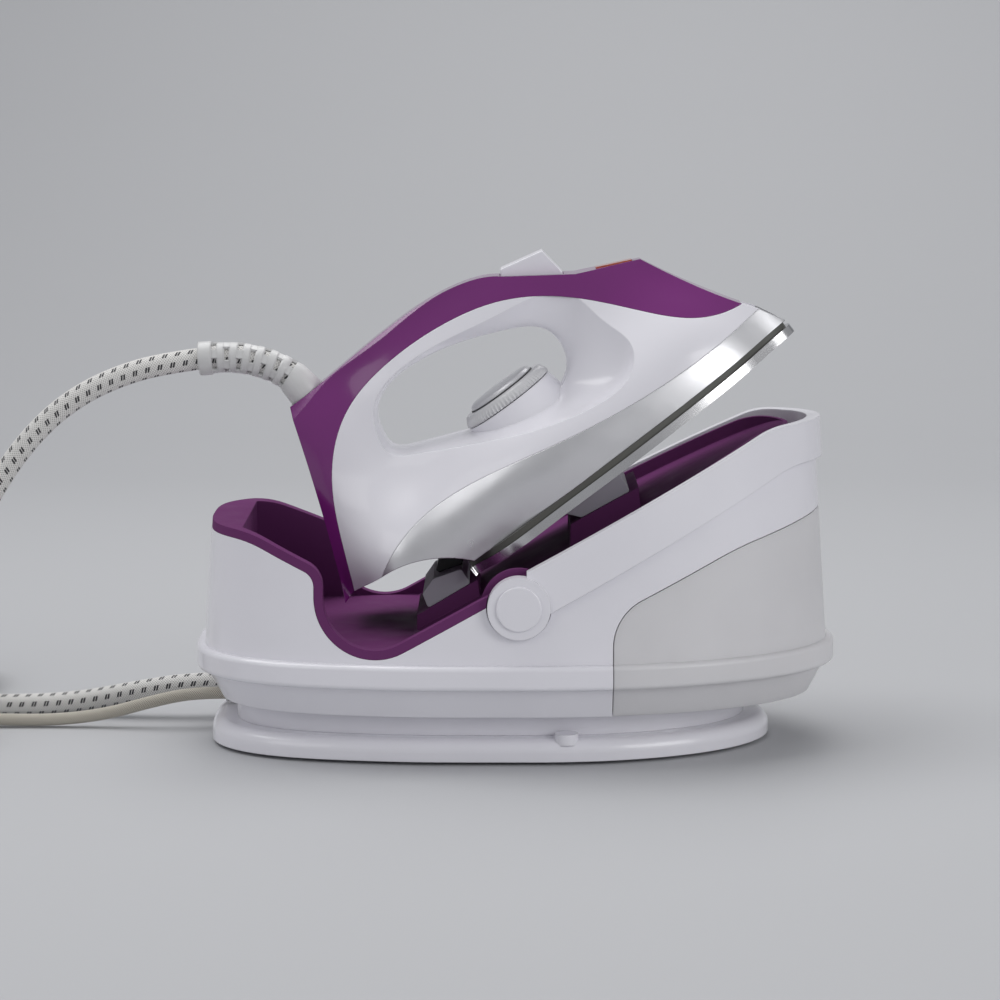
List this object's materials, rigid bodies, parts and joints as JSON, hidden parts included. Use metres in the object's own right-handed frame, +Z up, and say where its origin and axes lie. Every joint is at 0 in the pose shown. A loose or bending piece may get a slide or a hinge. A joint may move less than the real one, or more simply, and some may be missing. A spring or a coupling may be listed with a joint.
{
  "type": "steam generator iron",
  "caption": "Clothes iron parked nose-up on a steam-generator station with a pull-out water tank, carrying hoop, braided steam hose and mains lead.",
  "frame": {"origin": "on the surface that the station stands on, under the middle of the station's outline", "axes": "+X towards the parked iron's nose, +Y away from the side the picture shows, +Z up"},
  "size_m": [0.6849, 0.3054, 0.2768],
  "materials": {
    "white_gloss": "glossy white moulded plastic",
    "purple_gloss": "glossy purple moulded plastic",
    "purple_satin": "satin dark purple moulded plastic",
    "silver_paint": "silver painted plastic",
    "tank_clear": "milky translucent plastic",
    "pad_grey": "grey silicone",
    "stop_black": "black rubber",
    "steel": "polished steel",
    "cast_alloy": "cast alloy",
    "shield_grey": "heat-proof grey plastic",
    "fastener": "zinc-plated steel",
    "boiler_steel": "stainless steel",
    "inner_black": "black plastic",
    "inner_tube": "silicone tube",
    "board_green": "circuit board",
    "brass_parts": "brass",
    "dial_grey": "grey plastic",
    "lens_orange": "clear orange plastic",
    "boot_white": "soft translucent white plastic",
    "hose_braid": "white textile braid with black flecks",
    "lead_braid": "beige-grey textile braid",
    "tie_black": "cable tie strap",
    "plug_grey": "moulded plug"
  },
  "bodies": {
    "station": {"foot_plate": "white_gloss", "neck_ring": "white_gloss", "rubber_feet": "stop_black", "base_screws": "fastener", "base_body": "white_gloss", "iron_tray": "purple_satin", "front_rest_pad": "pad_grey", "rear_rest_pad": "pad_grey", "heel_stop": "stop_black", "hoop_pins": "fastener", "boiler_bracket": "inner_black", "boiler_heater": "cast_alloy", "boiler": "boiler_steel", "boiler_thermostat": "inner_black", "steam_valve": "brass_parts", "water_pump": "inner_black", "feed_hose": "inner_tube", "intake_hose": "inner_tube", "tank_socket": "inner_black", "control_board": "board_green", "terminal_block": "inner_black", "hose_gland": "boot_white", "mains_gland": "boot_white", "hose_coil": "hose_braid", "hose_tie": "tie_black", "hose_lower": "hose_braid", "hose_upper": "hose_braid", "mains_lead": "lead_braid", "lead_coil": "lead_braid", "lead_tie": "tie_black", "lead_tail": "lead_braid", "mains_plug": "plug_grey", "plug_pins": "fastener"},
    "hoop": {"carry_hoop": "white_gloss", "hoop_caps": "white_gloss"},
    "tank": {"water_tank": "tank_clear", "tank_plug": "stop_black", "tank_valve": "inner_black"},
    "iron": {"soleplate": "steel", "heater_casting": "cast_alloy", "heat_shield": "shield_grey", "skirt": "silver_paint", "iron_body": "white_gloss", "top_cover": "purple_gloss", "lamp_lens": "lens_orange", "iron_thermostat": "inner_black", "iron_terminal": "inner_black", "thermal_fuse": "boot_white", "steam_nipple": "brass_parts", "casting_screws": "fastener", "steam_switch": "inner_black", "hose_boot": "boot_white"},
    "trigger": {"steam_trigger": "white_gloss"},
    "dial": {"temperature_dial": "dial_grey", "dial_spindle": "fastener"}
  },
  "joints": [
    {"name": "hoop_swing", "type": "hinge", "parent": "station", "child": "hoop", "pos_m": [0.0008, 0, 0.0892], "axis": [0, -1, 0], "range_deg": [0, 11]},
    {"name": "tank_slide", "type": "slide", "parent": "station", "child": "tank", "axis": [1, 0, 0], "range_m": [0, 0.15]},
    {"name": "iron_lift", "type": "slide", "parent": "station", "child": "iron", "axis": [0, 0, 1], "range_m": [0, 0.12], "deforming": ["hose_upper"]},
    {"name": "trigger_press", "type": "slide", "parent": "iron", "child": "trigger", "axis": [0.0366, 0, -0.9993], "range_m": [0, 0.003], "stiffness_N_per_m": 900},
    {"name": "dial_turn", "type": "hinge", "parent": "iron", "child": "dial", "pos_m": [-0.0003, 0, 0.1865], "axis": [-0.5976, 0, 0.8018], "range_deg": [-135, 135]}
  ]
}
